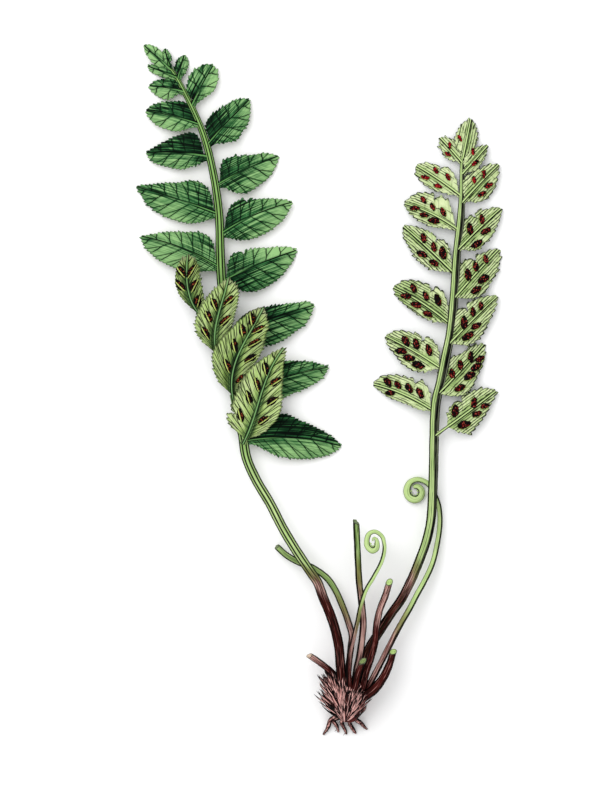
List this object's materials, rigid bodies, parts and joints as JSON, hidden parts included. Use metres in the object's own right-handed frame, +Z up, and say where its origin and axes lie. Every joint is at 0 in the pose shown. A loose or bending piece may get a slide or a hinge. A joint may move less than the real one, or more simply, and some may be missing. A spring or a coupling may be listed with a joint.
{
  "type": "fern plant",
  "caption": "Small fern lifted with its roots: pinnate fronds of toothed leaflets, coiled young fronds and cut stalks on a scaly rootstock, lying flat.",
  "frame": {"origin": "on the surface that the plant lies on, under the middle of its box", "axes": "+Y from the roots to the frond tips, +X to the right across the plant, +Z up from the surface"},
  "size_m": [0.1094, 0.2076, 0.0158],
  "materials": {
    "leaf_upper": "satin",
    "leaf_under": "satin",
    "green_stalk": "satin",
    "mauve_stalk": "satin",
    "brown_stalk": "satin",
    "rootstock": "matte"
  },
  "bodies": {
    "root": {"left_frond": "leaf_upper", "left_frond_stalk": "brown_stalk", "right_frond": "leaf_under", "right_frond_stalk": "brown_stalk", "large_coiled_frond": "green_stalk", "large_coiled_frond_foot": "mauve_stalk", "small_coiled_frond": "green_stalk", "small_coiled_frond_foot": "mauve_stalk", "middle_cut_stalk": "green_stalk", "middle_cut_stalk_foot": "mauve_stalk", "left_cut_stalk": "green_stalk", "left_cut_stalk_foot": "mauve_stalk", "tall_stub": "brown_stalk", "short_stub": "brown_stalk", "right_stub": "brown_stalk", "broken_stub": "brown_stalk", "rootstock": "rootstock"}
  },
  "joints": []
}
